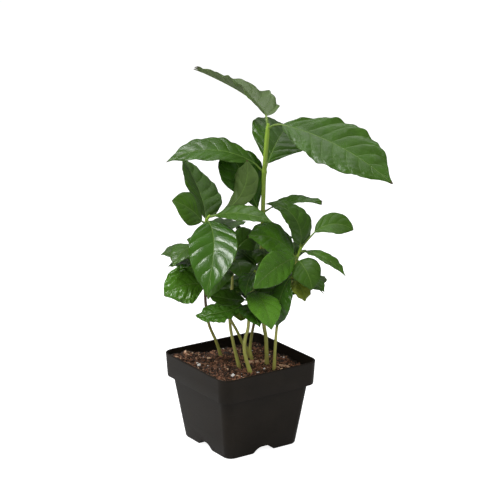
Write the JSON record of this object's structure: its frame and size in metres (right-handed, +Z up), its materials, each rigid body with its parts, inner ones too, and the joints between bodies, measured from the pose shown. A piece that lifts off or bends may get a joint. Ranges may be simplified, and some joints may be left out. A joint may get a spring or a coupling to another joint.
{
  "type": "potted coffee plant",
  "caption": "Young coffee seedlings with glossy wavy leaves on slender green stems, growing in a black square nursery pot filled with potting mix.",
  "frame": {"origin": "middle of the pot's flat underside", "axes": "+Z up along the stems; X and Y along the sides of the square pot"},
  "size_m": [0.1672, 0.2356, 0.3678],
  "materials": {
    "pot_plastic": "satin black moulded plastic with a soft sheen",
    "potting_mix": "rough dark bark and peat mix with white perlite",
    "green_stem": "smooth yellow-green young stem, browner with age",
    "leaf_green": "glossy deep green upper side, paler matt underside"
  },
  "bodies": {
    "root": {"pot": "pot_plastic", "soil": "potting_mix", "stem_tall": "green_stem", "stem_left": "green_stem", "stem_leaning": "green_stem", "stem_middle": "green_stem", "stem_front": "green_stem", "stem_back": "green_stem", "stem_right": "green_stem", "leaves_tall": "leaf_green", "leaf_pair_upper": "leaf_green", "leaf_pair_second": "leaf_green", "leaf_pair_third": "leaf_green", "leaf_pair_lower": "leaf_green", "leaves_left": "leaf_green", "leaves_leaning": "leaf_green", "leaves_middle": "leaf_green", "leaves_front": "leaf_green", "leaves_back": "leaf_green", "leaves_right": "leaf_green"}
  },
  "joints": []
}
